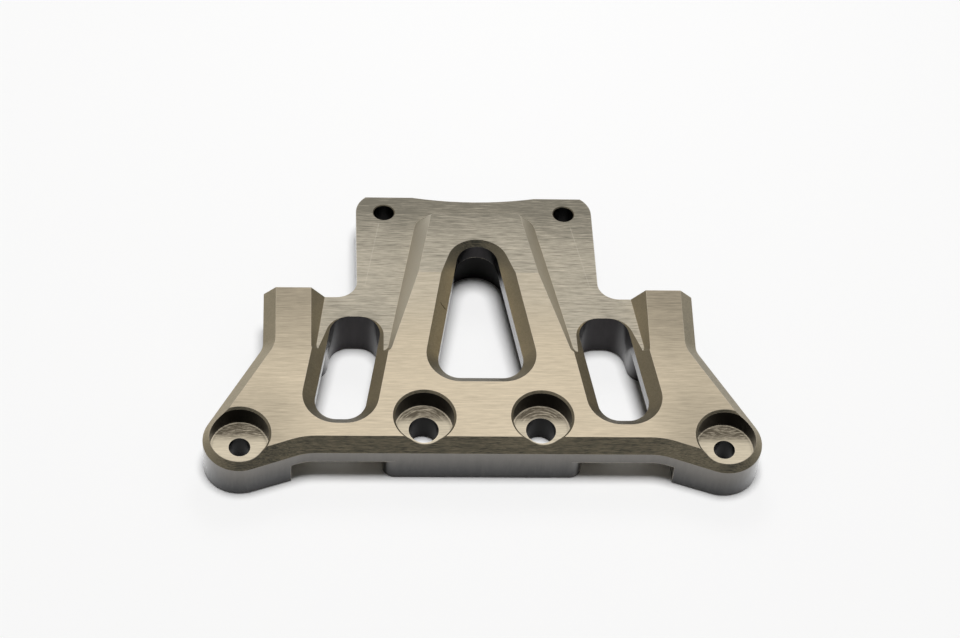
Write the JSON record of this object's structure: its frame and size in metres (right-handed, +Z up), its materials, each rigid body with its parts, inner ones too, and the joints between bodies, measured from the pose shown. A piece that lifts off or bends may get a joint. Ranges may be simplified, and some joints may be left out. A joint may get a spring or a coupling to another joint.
{
  "type": "mounting bracket",
  "caption": "Flat machined bracket with a counterbored front bar, slotted shoulders and a sloped rear plate with a raised centre rib.",
  "frame": {"origin": "on the seating face, midway between the two outer screw holes of the front bar", "axes": "+X to the right along the front bar, +Y to the rear, +Z up, square to the seating face; the flat top and the screws lean 5.1 degrees forward from it"},
  "size_m": [0.0644, 0.0423, 0.0087],
  "materials": {
    "anodised_aluminium": "brushed, bronze-grey anodised"
  },
  "bodies": {
    "root": {"mounting_bracket": "anodised_aluminium"}
  },
  "joints": []
}
